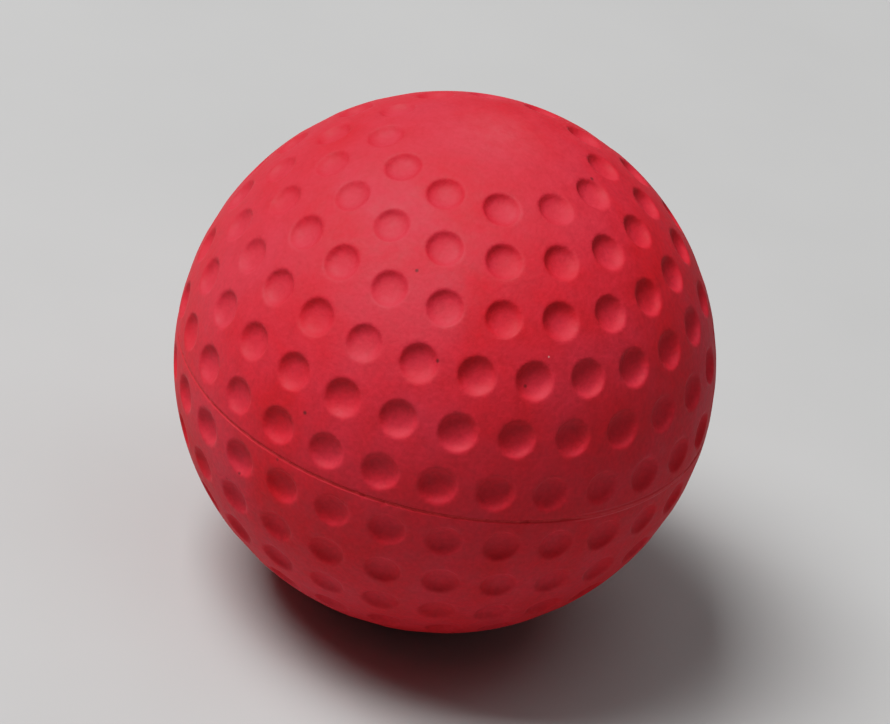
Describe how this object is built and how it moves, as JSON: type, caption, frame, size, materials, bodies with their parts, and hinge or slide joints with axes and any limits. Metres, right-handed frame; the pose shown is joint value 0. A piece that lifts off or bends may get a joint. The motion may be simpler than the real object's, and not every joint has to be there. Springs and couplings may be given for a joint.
{
  "type": "dimpled cricket ball",
  "caption": "Dimpled red cricket ball for bowling machines: two moulded half covers bonded at the equator around a light core.",
  "frame": {"origin": "centre of the ball", "axes": "+Z from the lower bald pole to the upper one; the covers meet in the XY plane; +Y towards the meridian where the upper cover's rings of dimples all start"},
  "size_m": [0.0722, 0.0722, 0.072],
  "materials": {
    "cover": "matte",
    "seam": "matte",
    "adhesive": "satin",
    "core": "matte"
  },
  "bodies": {
    "root": {"upper_cover": "cover", "lower_cover": "cover", "seam_bond": "seam", "core_film": "adhesive", "core": "core"}
  },
  "joints": []
}
